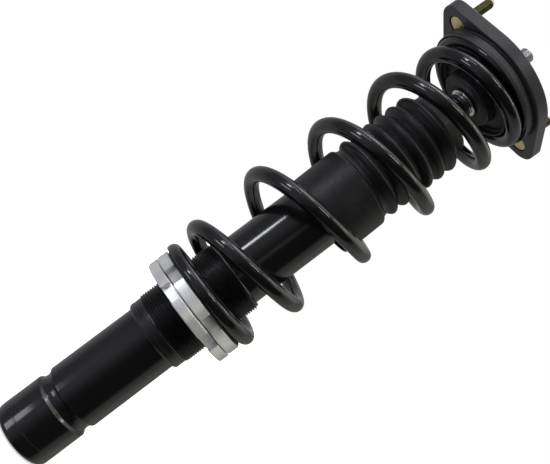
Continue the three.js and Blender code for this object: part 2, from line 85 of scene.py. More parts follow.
CYLINDER_BORE, PLUG_RADIUS = 16.0, 15.6    # the base valve and the rod guide plug into it
ROD_RADIUS, ROD_SHOULDER = 10.0, 404.2
SPIGOT_RADIUS, PISTON_HOLE, BAND_BORE = 5.6, 6.0, 14.5
ROD_THREAD, TIP_HOLE = 6.0, 6.3            # the rod's tip and the holes that it passes through
FINE_PITCH = 1.25                          # threads of the rod's tip and of the studs

SKIRT_RADIUS, SKIRT_HIGH = 33.0, 300.0
NECK_RADIUS, BELLOWS_LOW, BELLOWS_HIGH = 30.3, 306.0, 372.0
BELLOWS_FOLDS, BELLOWS_PEAK, BELLOWS_VALLEY = 6, 33.0, 28.6
COLLAR_RADIUS = 25.8
BOOT_LEAN, SKIRT_LEAN = 1.9, 1.4    # the loose boot sits off centre, its skirt most of all
BOOT_WALL, FOLD_WALL = 1.8, 0.9

SEAT_LIP_RADIUS, SEAT_LIP_LOW = 36.0, 412.5
SEAT_CONE_LOW, SEAT_WEB_LOW, SEAT_WEB_HIGH = 415.3, 417.9, 421.1
SEAT_FLANGE_LOW, RIM_LOW = 425.4, 420.4
RACE_BORE, RACE_RADIUS = 22.0, 33.0
BALL_COUNT, BALL_CIRCLE, BALL_HEIGHT, BALL_RADIUS = 40, 27.5, 425.5, 1.7

PLATE_RADIUS, LOBE_RADIUS, LOBE_OFFSET, STUD_OFFSET = 52.0, 15.0, 53.3, 51.8
PLATE_TILT, PLATE_DROP, PLATE_SLIDE = 1.4, 1.0, 1.0    # the loose mount tips on its rubber bush
PLATE_LOW, PLATE_HIGH, PLATE_BORE = 430.0, 439.5, 17.0
STUD_RECESS_RADIUS, STUD_RECESS_HIGH = 8.2, 434.7
STUD_KNURL_RADIUS, STUD_THREAD_RADIUS = 4.5, 4.0
STUD_TIP_RADIUS, STUD_HEAD_RADIUS, STUD_KNURL_HIGH = 2.9, 7.6, 447.0
KNURL_COUNT, KNURL_DEPTH = 18, 0.34
SPACER_HOLE = 10.9    # clear hole round the spacer tube
BOSS_RADIUS = 24.0

# The camera stands in front of the strut, a little to the left of the stud line, and is rolled.
CAMERA_PLACE = Vector((-0.1580, -0.4778, 0.1866))
CAMERA_RIGHT = Vector((0.5514, -0.2476, 0.7966))
CAMERA_FORWARD = Vector((0.2985, 0.9502, 0.0887))
CAMERA_LENS = 44.87
FRONT = Vector((-0.3140, -0.9494, 0.0))     # level direction from the strut to the camera
SIDE = Vector((0.9494, -0.3140, 0.0))       # level direction of the strut's shaded side


def extent(node):
    """Lowest height, highest height and outer radius of a turned CAD node, in millimetres."""
    low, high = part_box(node)
    return low.z / MM, high.z / MM, high.x / MM


def span(node):
    """Lowest and highest height of any CAD node, in millimetres."""
    return extent(node)[:2]


# ---------------------------------------------------------------- node helpers


class Nodes:
    """Short calls for the few nodes that the finishes and the room use."""

    def __init__(self, tree):
        self.tree = tree

    def add(self, kind, *values, **settings):
        """New node with its settings, and with its first inputs fed from values."""
        node = self.tree.nodes.new(kind)
        for key, value in settings.items():
            setattr(node, key, value)
        for socket, value in zip(node.inputs, values):
            self.feed(socket, value)
        return node

    def feed(self, socket, value):
        if hasattr(value, "is_output"):
            self.tree.links.new(value, socket)
        else:
            socket.default_value = value

    def math(self, operation, first, second=0.0, third=0.0):
        return self.add("ShaderNodeMath", first, second, third, operation=operation).outputs[0]

    def spread(self, value, low, high, out_low=0.0, out_high=1.0):
        node = self.add("ShaderNodeMapRange", value, low, high, out_low, out_high, clamp=True)
        return node.outputs["Result"]

    def blend_colors(self, factor, first, second):
        node = self.add("ShaderNodeMix", data_type="RGBA")
        self.feed(node.inputs["Factor"], factor)
        self.feed(node.inputs["A"], (*first, 1.0) if isinstance(first, tuple) else first)
        self.feed(node.inputs["B"], (*second, 1.0) if isinstance(second, tuple) else second)
        return node.outputs["Result"]


class Shader(Nodes):
    """A material with a Principled shader and the textures that the finishes use."""

    def __init__(self, name):
        self.material = bpy.data.materials.new(name)
        self.material.use_nodes = True
        super().__init__(self.material.node_tree)
        self.bsdf = self.tree.nodes["Principled BSDF"]
        self.coords = self.add("ShaderNodeTexCoord").outputs["Object"]

    def noise(self, scale, detail=3.0, roughness=0.55, vector=None):
        node = self.add("ShaderNodeTexNoise", vector or self.coords)
        node.inputs["Scale"].default_value = scale
        node.inputs["Detail"].default_value = detail
        node.inputs["Roughness"].default_value = roughness
        return node.outputs["Fac"]

    def cells(self, scale):
        node = self.add("ShaderNodeTexVoronoi", self.coords)
        node.inputs["Scale"].default_value = scale
        return node.outputs["Distance"]

    def turned_coords(self, radial, axial, around):
        """Coordinates that run round the strut's axis, for marks left by turning."""
        x, y, z = self.add("ShaderNodeSeparateXYZ", self.coords).outputs
        radius = self.math("SQRT", self.math("ADD", self.math("MULTIPLY", x, x),
                                             self.math("MULTIPLY", y, y)))
        angle = self.math("ARCTAN2", y, x)
        stretched = [self.math("MULTIPLY", radius, radial), self.math("MULTIPLY", z, axial),
                     self.math("MULTIPLY", angle, around)]
        return self.add("ShaderNodeCombineXYZ", *stretched).outputs[0]

    def bump(self, height, strength, distance, after=None):
        node = self.add("ShaderNodeBump")
        node.inputs["Strength"].default_value = strength
        node.inputs["Distance"].default_value = distance
        self.feed(node.inputs["Height"], height)
        if after is not None:
            self.feed(node.inputs["Normal"], after)
        return node.outputs["Normal"]

    def finish(self, color, roughness, normal=None, **sockets):
        self.feed(self.bsdf.inputs["Base Color"], color)
        self.feed(self.bsdf.inputs["Roughness"], roughness)
        if normal is not None:
            self.feed(self.bsdf.inputs["Normal"], normal)
        for key, value in sockets.items():
            self.bsdf.inputs[key.replace("_", " ")].default_value = value
        return self.material


# ---------------------------------------------------------------- materials


def paint(name, dark, light, smooth, dull, peel):
    """Sprayed black paint: slight orange peel, faint dust and handling marks."""
    s = Shader(name)
    broad = s.noise(22, 4)
    specks = s.spread(s.cells(900), 0.04, 0.10, 1.0, 0.0)
    scuffs = s.spread(s.noise(160, 6, 0.7), 0.62, 0.78)
    tone = s.blend_colors(broad, dark, light)
    marked = s.blend_colors(s.math("MULTIPLY", specks, 0.10), tone, (0.16, 0.16, 0.16))
    rough = s.math("ADD", s.spread(broad, 0.3, 0.7, smooth, dull), s.math("MULTIPLY", scuffs, 0.08))
    skin = s.bump(s.noise(520, 2), peel, 0.00012)
    return s.finish(marked, rough, s.bump(specks, 0.08, 0.00004, skin))


def black_oxide():
    """Oiled black oxide on the cut thread, rubbed brighter in places."""
    s = Shader("black_oxide")
    turned = s.turned_coords(2600, 2600, 1.2)
    lines = s.noise(1.0, 3, 0.6, turned)
    rubbed = s.spread(s.noise(120, 5, 0.65), 0.55, 0.75)
    tone = s.blend_colors(rubbed, (0.005, 0.005, 0.0055), (0.018, 0.018, 0.019))
    rough = s.spread(lines, 0.3, 0.7, 0.20, 0.34)
    return s.finish(tone, rough, s.bump(lines, 0.12, 0.00003))


def turned_aluminium():
    """Lathe-cut aluminium: fine lines round the axis, broader ripples and soft clouding."""
    s = Shader("turned_aluminium")
    fine = s.noise(1.0, 4, 0.6, s.turned_coords(9000, 9000, 2.0))
    broad = s.noise(1.0, 2, 0.5, s.turned_coords(900, 900, 6.0))
    cloud = s.noise(60, 4)
    tone = s.blend_colors(cloud, (0.80, 0.80, 0.79), (0.88, 0.88, 0.87))
    streaked = s.blend_colors(s.spread(fine, 0.35, 0.7), tone, (0.94, 0.94, 0.93))
    rough = s.math("ADD", s.spread(fine, 0.3, 0.7, 0.35, 0.40), s.math("MULTIPLY", cloud, 0.04))
    normal = s.bump(fine, 0.20, 0.00002, s.bump(broad, 0.10, 0.00003))
    material = s.finish(streaked, rough, normal, Metallic=0.74, Anisotropic=1.0,
                        Anisotropic_Rotation=0.25)
    tangent = s.add("ShaderNodeTangent", direction_type="RADIAL", axis="Z")
    s.feed(s.bsdf.inputs["Tangent"], tangent.outputs[0])
    return material


def hard_chrome():
    """Ground and polished chrome with the finest circular grinding lines and an oil film."""
    s = Shader("hard_chrome")
    lines = s.noise(1.0, 3, 0.6, s.turned_coords(9000, 9000, 1.0))
    film = s.noise(70, 4)
    tone = s.blend_colors(film, (0.72, 0.73, 0.75), (0.80, 0.81, 0.83))
    rough = s.math("ADD", s.spread(lines, 0.3, 0.7, 0.05, 0.10), s.math("MULTIPLY", film, 0.05))
    return s.finish(tone, rough, s.bump(lines, 0.06, 0.00001), Metallic=1.0)


def steel(name, dark, light, smooth, dull):
    """Machined or plated steel with turning lines and mottled plating."""
    s = Shader(name)
    lines = s.noise(1.0, 3, 0.6, s.turned_coords(5200, 5200, 2.0))
    mottle = s.noise(240, 5, 0.65)
    tone = s.blend_colors(s.spread(mottle, 0.3, 0.7), dark, light)
    rough = s.math("ADD", s.spread(lines, 0.3, 0.7, smooth, dull), s.math("MULTIPLY", mottle, 0.08))
    return s.finish(tone, rough, s.bump(lines, 0.15, 0.00002), Metallic=1.0)


def yellow_zinc(name, dark, straw, olive, rose):
    """Chromated zinc: straw, olive and rose patches over a slightly grainy plating."""
    s = Shader(name)
    patches = s.noise(170, 4, 0.6)
    tints = s.noise(90, 3, 0.5)
    base = s.blend_colors(s.spread(patches, 0.35, 0.65), dark, straw)
    green = s.blend_colors(s.spread(tints, 0.45, 0.75), base, olive)
    rosy = s.blend_colors(s.spread(s.noise(310, 3), 0.60, 0.78), green, rose)
    rough = s.spread(patches, 0.3, 0.7, 0.26, 0.44)
    return s.finish(rosy, rough, s.bump(s.noise(1500, 3), 0.22, 0.00003), Metallic=0.9)


def rubber(name, dark, light, smooth, dull, grain):
    """Moulded black rubber with a fine grain, dust specks and a faint pale bloom."""
    s = Shader(name)
    bloom = s.spread(s.noise(45, 5, 0.6), 0.42, 0.75)
    tone = s.blend_colors(bloom, dark, light)
    specks = s.spread(s.cells(1100), 0.03, 0.08, 1.0, 0.0)
    dusty = s.blend_colors(s.math("MULTIPLY", specks, 0.14), tone, (0.22, 0.22, 0.21))
    rough = s.math("ADD", s.spread(s.noise(300, 3), 0.3, 0.7, smooth, dull),
                   s.math("MULTIPLY", bloom, 0.06))
    return s.finish(dusty, rough, s.bump(s.noise(1400, 4), grain, 0.00006), Specular_IOR_Level=0.32)


def foam():
    """Yellow microcellular foam with open pores."""
    s = Shader("bump_stop_foam")
    pores = s.spread(s.cells(1300), 0.10, 0.32)
    tone = s.blend_colors(pores, (0.30, 0.22, 0.08), (0.58, 0.47, 0.20))
    worn = s.blend_colors(s.math("MULTIPLY", s.noise(80, 4), 0.4), tone, (0.66, 0.56, 0.30))
    return s.finish(worn, s.spread(s.noise(200), 0.3, 0.7, 0.70, 0.88), s.bump(pores, 0.5, 0.0002))


def bronze_plastic():
    """Brown bronze-filled low-friction plastic."""
    s = Shader("bronze_plastic")
    grains = s.spread(s.cells(2600), 0.05, 0.30)
    tone = s.blend_colors(grains, (0.26, 0.15, 0.07), (0.11, 0.062, 0.034))
    return s.finish(tone, s.spread(s.noise(400), 0.3, 0.7, 0.42, 0.58), s.bump(grains, 0.2, 0.00004))


def plate_coating():
    """Cathodic dip coating on the pressed top plate: even charcoal, fine grain, rubbed spots."""
    s = Shader("plate_coating")
    broad = s.noise(30, 4)
    rubbed = s.spread(s.noise(210, 6, 0.7), 0.60, 0.80)
    tone = s.blend_colors(broad, (0.020, 0.020, 0.024), (0.030, 0.030, 0.035))
    marked = s.blend_colors(s.math("MULTIPLY", rubbed, 0.35), tone, (0.075, 0.075, 0.082))
    rough = s.math("ADD", s.spread(broad, 0.3, 0.7, 0.36, 0.44), s.math("MULTIPLY", rubbed, 0.06))
    return s.finish(marked, rough, s.bump(s.noise(900, 4), 0.20, 0.00006))


MATERIALS = {
    "gloss_black_paint": paint("gloss_black_paint", (0.004, 0.004, 0.0045), (0.007, 0.007, 0.0075),
                               0.10, 0.17, 0.05),
    "spring_black_paint": paint("spring_black_paint", (0.004, 0.004, 0.0045), (0.007, 0.007, 0.0075),
                                0.09, 0.15, 0.025),
    "matt_coated_steel": paint("matt_coated_steel", (0.020, 0.020, 0.021), (0.030, 0.030, 0.032),
                               0.44, 0.54, 0.25),
    "black_oxide": black_oxide(),
    "mount_black_coating": plate_coating(),
    "dark_phosphate_steel": steel("dark_phosphate_steel", (0.06, 0.06, 0.06), (0.11, 0.11, 0.10),
                                  0.45, 0.62),
    "bare_aluminium": turned_aluminium(),
    "bright_steel": steel("bright_steel", (0.50, 0.50, 0.50), (0.64, 0.64, 0.63), 0.22, 0.36),
    "hard_chrome": hard_chrome(),
    "yellow_zinc": yellow_zinc("yellow_zinc", (0.62, 0.53, 0.24), (0.88, 0.76, 0.42),
                               (0.52, 0.54, 0.26), (0.84, 0.52, 0.34)),
    "olive_zinc": yellow_zinc("olive_zinc", (0.16, 0.16, 0.08), (0.26, 0.25, 0.13),
                              (0.11, 0.13, 0.06), (0.30, 0.18, 0.10)),
    "black_rubber": rubber("black_rubber", (0.016, 0.016, 0.017), (0.028, 0.028, 0.028),
                           0.48, 0.62, 0.30),
    "boot_rubber": rubber("boot_rubber", (0.009, 0.009, 0.010), (0.016, 0.016, 0.017),
                          0.36, 0.48, 0.20),
    "yellow_foam": foam(),
    "brown_plastic": bronze_plastic(),
}


# ---------------------------------------------------------------- mesh helpers


def make_object(name, mesh_builder, sharp=38):
    """Object from a bmesh in millimetres: cleaned, outward facing, smooth between sharp edges."""
    bmesh.ops.remove_doubles(mesh_builder, verts=mesh_builder.verts, dist=1e-4)
    bmesh.ops.dissolve_degenerate(mesh_builder, edges=mesh_builder.edges, dist=1e-5)
    bmesh.ops.recalc_face_normals(mesh_builder, faces=mesh_builder.faces)
    bmesh.ops.scale(mesh_builder, vec=(MM, MM, MM), verts=mesh_builder.verts)
    mesh = bpy.data.meshes.new(name)
    mesh_builder.to_mesh(mesh)
    mesh_builder.free()
    mesh.shade_smooth()
    mesh.set_sharp_from_angle(angle=math.radians(sharp))
    piece = bpy.data.objects.new(name, mesh)
    bpy.context.scene.collection.objects.link(piece)
    return piece


def dress(piece, body, slot, *nodes, finish=None):
    """Gives a piece its finish, its body and the CAD nodes that it stands for."""
    piece.data.materials.clear()
    piece.data.materials.append(MATERIALS[finish or slot])
    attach(piece, body)
    if nodes:
        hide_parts(*nodes)
    return piece


def rounded(points, closed=True, steps=4):
    """Profile with each corner (radius, height, fillet) turned into a small arc."""
    result = []
    count = len(points)
    for index, point in enumerate(points):
        x, y = point[:2]
        fillet = point[2] if len(point) > 2 else 0.0
        at_end = not closed and index in (0, count - 1)
        if fillet <= 0 or at_end:
            result.append((x, y))
            continue
        corner = Vector((x, y))
        before = Vector(points[index - 1][:2]) - corner
        after = Vector(points[(index + 1) % count][:2]) - corner
        opening = before.angle(after)
        cut = min(fillet / math.tan(opening / 2), before.length * 0.48, after.length * 0.48)
        start = corner + before.normalized() * cut
        end = corner + after.normalized() * cut
        for step in range(steps + 1):
            t = step / steps
            result.append(tuple((1 - t) ** 2 * start + 2 * t * (1 - t) * corner + t * t * end))
    return result


def turned(name, profile, segments=96, closed=True, sharp=38, shift=None):
    """Piece turned round the strut's axis. shift(radius, height) moves a level sideways."""
    builder = bmesh.new()
    rings = []
    for radius, height in profile:
        x, y = shift(radius, height) if shift else (0.0, 0.0)
        if radius < 1e-6:
            rings.append([builder.verts.new((x, y, height))])
            continue
        rings.append([
            builder.verts.new((radius * math.cos(TAU * i / segments) + x,
                               radius * math.sin(TAU * i / segments) + y, height))
            for i in range(segments)])
    pairs = list(zip(rings, rings[1:]))
    if closed:
        pairs.append((rings[-1], rings[0]))
    for low, high in pairs:
        for i in range(segments):
            j = (i + 1) % segments
            corners = [low[i % len(low)], low[j % len(low)], high[j % len(high)], high[i % len(high)]]
            unique = list(dict.fromkeys(corners))
            if len(unique) > 2:
                builder.faces.new(unique)
    return make_object(name, builder, sharp)


def washer(name, bore, radius, low, high, edge=0.4, segments=64):
    """Flat ring with rounded edges."""
    return turned(name, rounded([(bore, low, edge / 2), (radius, low, edge), (radius, high, edge),
                                 (bore, high, edge / 2)]), segments)


def turned_node(node, body, slot, corners, segments=96, steps=4, sharp=38, finish=None):
    """A CAD node's detailed stand-in, turned from the corners of its profile."""
    piece = turned(node, rounded(corners, steps=steps), segments, sharp=sharp)
    return dress(piece, body, slot, node, finish=finish)


def washer_node(node, body, slot, bore, edge=0.4, segments=64, name=None, finish=None):
    """A CAD node's stand-in as a flat ring of the node's own height and radius."""
    low, high, radius = extent(node)
    piece = washer(name or node, bore, radius, low, high, edge, segments)
    return dress(piece, body, slot, node, finish=finish)


def threaded(low, high, crest, root, pitch, limit, segments):
    """Right-hand screw thread. limit(height) is the largest radius allowed, for run-outs."""
    corners = [(0.06, root), (0.42, crest), (0.56, crest), (0.92, root)]
    turns = math.ceil((high - low) / pitch) + 4
    builder = bmesh.new()
    columns = []
    for i in range(segments):
        angle = TAU * i / segments
        column = []
        for turn in range(turns):
            for part, radius in corners:
                height = low + (turn - 2 + part + i / segments) * pitch
                height = min(max(height, low), high)
                reach = min(radius, limit(height))
                if height <= low or height >= high:
                    reach = limit(height)
                column.append(builder.verts.new((reach * math.cos(angle), reach * math.sin(angle),
                                                 height)))
        columns.append(column)
    steps = len(corners)
    for i in range(segments):
        offset = steps if i == segments - 1 else 0
        here, there = columns[i], columns[(i + 1) % segments]
        for row in range(len(here) - 1 - offset):
            builder.faces.new((here[row], there[row + offset], there[row + 1 + offset],
                               here[row + 1]))
    return builder


def ring_faces(builder, here, there):
    """Quads between two closed rings of vertices."""
    for i in range(len(here)):
        j = (i + 1) % len(here)
        builder.faces.new((here[i], here[j], there[j], there[i]))


def level_rings(builder, rows):
    """Rings of vertices round the axis, from rows of (radius, height) for each step round it."""
    rings = []
    for row in rows:
        angles = [TAU * i / len(row) for i in range(len(row))]
        rings.append([builder.verts.new((radius * math.cos(angle), radius * math.sin(angle), height))
                      for angle, (radius, height) in zip(angles, row)])
    return rings


def close_ends(builder):
    """Fills the open rims of a tube-like surface."""
    bmesh.ops.remove_doubles(builder, verts=builder.verts, dist=1e-4)
    bmesh.ops.dissolve_degenerate(builder, edges=builder.edges, dist=1e-5)
    rims = [edge for edge in builder.edges if edge.is_boundary]
    bmesh.ops.contextual_create(builder, geom=rims)


# ---------------------------------------------------------------- damper body


def foot_cap():
    low, high, radius = extent("end_cap")
    seam = high - 6.4
    piece = turned("foot_cap", rounded([
        (0, low), (radius - 0.2, low, FOOT_FILLET), (radius, seam, 0.3),
        (radius - 0.35, seam + 0.2, 0.2), (radius - 0.35, seam + 0.1, 0.0), (radius - 4, seam),
        (0, seam)], closed=False, steps=8), closed=False)
    return dress(piece, "strut_body", "gloss_black_paint", "end_cap")


def body_tube():
    low, high, radius = extent("strut_tube")
    bead = GROOVE_RADIUS - 2.6
    bore = BODY_RADIUS - 3.1
    piece = turned("body_tube", rounded([
        (bore, low), (radius, low - 0.2, 0.35), (radius, GROOVE_LOW, 1.1),
        (GROOVE_RADIUS + 0.6, GROOVE_LOW + 2.0, 1.6), (GROOVE_RADIUS, GROOVE_LOW + 5.2, 3.0),
        (GROOVE_RADIUS + 0.5, GROOVE_HIGH - 1.8, 1.3), (BODY_RADIUS, GROOVE_HIGH, 1.3),
        (BODY_RADIUS, high, 0.6), (bore, high, 0.3), (bore, GROOVE_HIGH + 1, 1.0),
        (bead, GROOVE_HIGH - 1.6, 1.0), (bead, GROOVE_LOW + 2.6, 1.0), (bore, GROOVE_LOW, 1.0)],
        steps=6), 128)
    return dress(piece, "strut_body", "gloss_black_paint", "strut_tube")


def threaded_sleeve():
    low, high = span("threaded_sleeve")
    thread_low, thread_high = SLEEVE_THREAD_LOW, high - 0.9
    core_radius, line_radius = SLEEVE_ROOT - 0.15, SLEEVE_LIP - 0.35

    def limit(height):
        return min(SLEEVE_CREST, SLEEVE_LIP + max(0.0, height - thread_low) * 0.9,
                   SLEEVE_ROOT + 0.1 + max(0.0, thread_high - height))

    builder = threaded(thread_low, thread_high, SLEEVE_CREST, SLEEVE_ROOT, SLEEVE_PITCH, limit, 144)
    thread = dress(make_object("sleeve_thread", builder), "strut_body", "black_coated_steel",
                   finish="black_oxide")
    core = turned("sleeve_core", rounded([
        (SLEEVE_BORE, low, 0.3), (SLEEVE_LIP - 1.1, low, 0.3), (SLEEVE_LIP, low + 1.5, 0.4),
        (SLEEVE_LIP, low + 4.2, 0.1), (line_radius, low + 4.5, 0.1), (line_radius, low + 5.1, 0.1),
        (SLEEVE_LIP, low + 5.4, 0.1), (SLEEVE_LIP, thread_low, 0.2), (core_radius, thread_low + 0.1),
        (core_radius, high - 1.0, 0.1), (SLEEVE_ROOT + 0.1, thread_high, 0.1),
        (SLEEVE_ROOT - 0.6, high, 0.3), (SLEEVE_BORE, high, 0.3)]), 128)
    dress(core, "strut_body", "black_coated_steel", "threaded_sleeve", finish="black_oxide")
    return thread


def gland_nut():
    low, high, radius = extent("gland_nut")
    bore, neck = ROD_RADIUS + 0.7, radius - 3.4
    head_low, recess = high - 4.7, high - 0.9
    return turned_node("gland_nut", "strut_body", "dark_phosphate_steel", [
        (bore, low), (neck, low), (neck, head_low), (radius, head_low, 0.3), (radius, high, 0.9),
        (ROD_RADIUS + 5.5, high, 0.4), (ROD_RADIUS + 4.6, recess, 0.3), (bore, recess, 0.3)])


def inner_works():
    """The parts inside the tube, finished like the rest although they stay hidden."""
    bore = ROD_RADIUS + 0.3
    low, high, radius = extent("base_valve")
    turned_node("base_valve", "strut_body", "dark_phosphate_steel", [
        (2.5, low, 0.3), (radius, low, 0.5), (radius, high - 5.3, 0.5), (PLUG_RADIUS, high - 5, 0.2),
        (PLUG_RADIUS, high, 0.5), (2.5, high, 0.3)])
    washer_node("inner_cylinder", "strut_body", "bright_steel", CYLINDER_BORE)
    low, high, radius = extent("rod_guide")
    turned_node("rod_guide", "strut_body", "dark_phosphate_steel", [
        (bore, low, 0.2), (PLUG_RADIUS, low, 0.5), (PLUG_RADIUS, low + 5.5),
        (radius, low + 5.5, 0.6), (radius, high, 0.6), (bore, high, 0.2)])
    low, high, radius = extent("rod_seal")
    turned_node("rod_seal", "strut_body", "black_rubber", [
        (bore, low, 0.3), (radius, low, 0.5), (radius, high, 0.5), (14, high, 0.4),
        (13.2, high - 1.6, 0.4), (bore, high, 0.3)])
    low, high, radius = extent("piston")
    groove, land = radius - 1.1, 3.9
    turned_node("piston", "rod_and_top_mount", "dark_phosphate_steel", [
        (PISTON_HOLE, low, 0.3), (radius, low, 0.5), (radius, low + land, 0.2), (groove, low + land),
        (groove, high - land), (radius, high - land, 0.2), (radius, high, 0.5),
        (PISTON_HOLE, high, 0.3)])
    washer_node("piston_band", "rod_and_top_mount", "brown_plastic", BAND_BORE)
    washer_node("rebound_stop", "rod_and_top_mount", "dark_phosphate_steel", bore, 0.8)


# ---------------------------------------------------------------- notched rings


def notched_outline(radius, turn):
    """Outline of a ring's rim with straight-sided, flat-floored notches, as x and y points."""
    points = []
    half = math.asin(NOTCH_WIDTH / 2 / radius)
    floor = radius - NOTCH_DEPTH
    for index in range(NOTCH_COUNT):
        middle = math.radians(turn) + index * TAU / NOTCH_COUNT
        along = Vector((math.cos(middle), math.sin(middle)))
        across = Vector((-math.sin(middle), math.cos(middle)))
        for side in (-1, 1):
            points.append(along * floor + across * side * NOTCH_WIDTH / 2)
        start, end = middle + half, middle + TAU / NOTCH_COUNT - half
        steps = 18
        points += [Vector((math.cos(a), math.sin(a))) * radius
                   for a in (start + (end - start) * k / steps for k in range(steps + 1))]
    return points


def plate_from_outlines(name, outlines, low, high, bevel):
    """Flat plate with holes, all its edges bevelled, from closed outlines in millimetres."""
    curve = bpy.data.curves.new(name, "CURVE")
    curve.dimensions = "2D"
    curve.fill_mode = "BOTH"
    for outline in outlines:
        spline = curve.splines.new("POLY")
        spline.points.add(len(outline) - 1)
        for target, point in zip(spline.points, outline):
            target.co = (point[0] * MM, point[1] * MM, 0.0, 1.0)
        spline.use_cyclic_u = True
    curve.bevel_depth = bevel * MM
    curve.bevel_resolution = 1
    curve.offset = -bevel * MM
    curve.extrude = (high - low) / 2 * MM - bevel * MM
    holder = bpy.data.objects.new(name + "_outline", curve)
    bpy.context.scene.collection.objects.link(holder)
    graph = bpy.context.evaluated_depsgraph_get()
    mesh = bpy.data.meshes.new_from_object(holder.evaluated_get(graph))
    bpy.data.objects.remove(holder)
    builder = bmesh.new()
    builder.from_mesh(mesh)
    bmesh.ops.scale(builder, vec=(1 / MM, 1 / MM, 1 / MM), verts=builder.verts)
    bmesh.ops.translate(builder, vec=(0, 0, (low + high) / 2), verts=builder.verts)
    return make_object(name, builder, 22)


def circle(radius, centre=(0.0, 0.0), segments=96):
    return [(centre[0] + radius * math.cos(TAU * i / segments),
             centre[1] + radius * math.sin(TAU * i / segments)) for i in range(segments)]


def notched_ring(name, node, body, turn):
    low, high = span(node)
    outlines = [notched_outline(RING_RADIUS, turn), circle(RING_BORE, segments=128)]
    ring = plate_from_outlines(name, outlines, low, high, RING_EDGE)
    return dress(ring, body, "bare_aluminium", node)


# ---------------------------------------------------------------- coil spring


def smooth(value):
    t = min(max(value, 0.0), 1.0)
    return t * t * (3 - 2 * t)


def along_spring(stations, turn):
    """Smooth curve through stations (turn, value), ends included."""
    last = len(stations) - 1
    index = 0
    while index < last - 1 and turn > stations[index + 1][0]:
        index += 1

    def slope(k):
        before, after = stations[max(k - 1, 0)], stations[min(k + 1, last)]
        return (after[1] - before[1]) / (after[0] - before[0])

    (start, low), (end, high) = stations[index:index + 2]
    gap = end - start
    t = (turn - start) / gap
    return ((2 * t ** 3 - 3 * t ** 2 + 1) * low + (t ** 3 - 2 * t ** 2 + t) * gap * slope(index)
            + (3 * t ** 2 - 2 * t ** 3) * high + (t ** 3 - t ** 2) * gap * slope(index + 1))


def spring_path(per_turn):
    start, end = SPRING_HEIGHTS[0][0], SPRING_HEIGHTS[-1][0]
    steps = round((end - start) * per_turn)
    points = []
    for step in range(steps + 1):
        turn = start + (end - start) * step / steps
        angle = math.radians(SPRING_PHASE) + TAU * turn
        radius = along_spring(SPRING_RADII, turn)
        lean = along_spring(SPRING_LEAN, turn)
        points.append(Vector((radius * math.cos(angle) - lean * SIDE.x,
                              radius * math.sin(angle) - lean * SIDE.y,
                              along_spring(SPRING_HEIGHTS, turn))))
    return points


def coil_spring():
    low, high = span("coil_spring")
    path = spring_path(per_turn=72)
    sides = 28
    builder = bmesh.new()
    rings = []
    last = len(path) - 1
    for index, point in enumerate(path):
        along = (path[min(index + 1, last)] - path[max(index - 1, 0)]).normalized()
        outward = Vector((point.x, point.y, 0)).normalized()
        outward = (outward - along * outward.dot(along)).normalized()
        upward = along.cross(outward)
        ring = []
        for side in range(sides):
            angle = TAU * side / sides
            place = point + (outward * math.cos(angle) + upward * math.sin(angle)) * WIRE_RADIUS
            place.z = min(max(place.z, low), high)
            ring.append(builder.verts.new(place))
        rings.append(ring)
    for here, there in zip(rings, rings[1:]):
        for side in range(sides):
            after = (side + 1) % sides
            builder.faces.new((here[side], there[side], there[after], here[after]))
    for ring in (rings[0], rings[-1]):
        builder.faces.new(ring)
    spring = make_object("coil_spring_wire", builder, 40)
    dress(spring, "perch_carrier", "spring_black_paint", "coil_spring")
    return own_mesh(spring)


def perch_isolator():
    return washer_node("perch_isolator", "perch_carrier", "black_rubber", RING_BORE + 0.3, 0.5, 128)


# ---------------------------------------------------------------- rod, boot and bump stop


def piston_rod():
    low, high, radius = extent("piston_rod")
    piston_high = span("piston")[1] + 0.3
    thread_low = span("rod_nut")[0] - 2.0
    shaft = turned("piston_rod", rounded([
        (0, low), (SPIGOT_RADIUS, low, 0.6), (SPIGOT_RADIUS, piston_high),
        (radius, piston_high, 0.5),
        (radius, ROD_SHOULDER, 1.4), (ROD_THREAD, ROD_SHOULDER), (ROD_THREAD, thread_low, 0.1),
        (ROD_THREAD - 0.8, thread_low + 0.8), (0, thread_low + 0.8)], closed=False), closed=False)
    dress(shaft, "rod_and_top_mount", "hard_chrome", "piston_rod")

    def limit(height):
        return min(ROD_THREAD, ROD_THREAD - 1.0 + max(0.0, high - height))

    builder = threaded(thread_low + 0.2, high, ROD_THREAD, ROD_THREAD - 0.75, FINE_PITCH, limit, 64)
    close_ends(builder)
    return dress(make_object("rod_thread", builder), "rod_and_top_mount", "bright_steel")


def rod_washer():
    return washer_node("rod_washer", "rod_and_top_mount", "bright_steel", TIP_HOLE, 0.6,
                       finish="hard_chrome")


def fold_profile(inset):
    """Rounded bellows folds. The top one runs out into the shoulder under the collar."""
    points = []
    fold = (BELLOWS_HIGH - BELLOWS_LOW) / BELLOWS_FOLDS
    steps = 10
    for index in range(BELLOWS_FOLDS * steps + 1):
        phase = index / steps
        wave = (0.5 - 0.5 * math.cos(TAU * phase)) ** 0.72
        valley = BELLOWS_VALLEY
        if phase > BELLOWS_FOLDS - 0.5:
            valley = COLLAR_RADIUS + 1.8
            wave **= 0.7
        points.append((valley + (BELLOWS_PEAK - valley) * wave - inset, BELLOWS_LOW + phase * fold))
    return points


def boot_lean(radius, height):
    """The loose boot sits to one side, apart from its hole, which the rod centres."""
    amount = BOOT_LEAN + SKIRT_LEAN * smooth((BELLOWS_LOW + 2 - height) / 20)
    amount *= smooth((radius - ROD_RADIUS - 2) / 12)
    return SIDE.x * amount, SIDE.y * amount


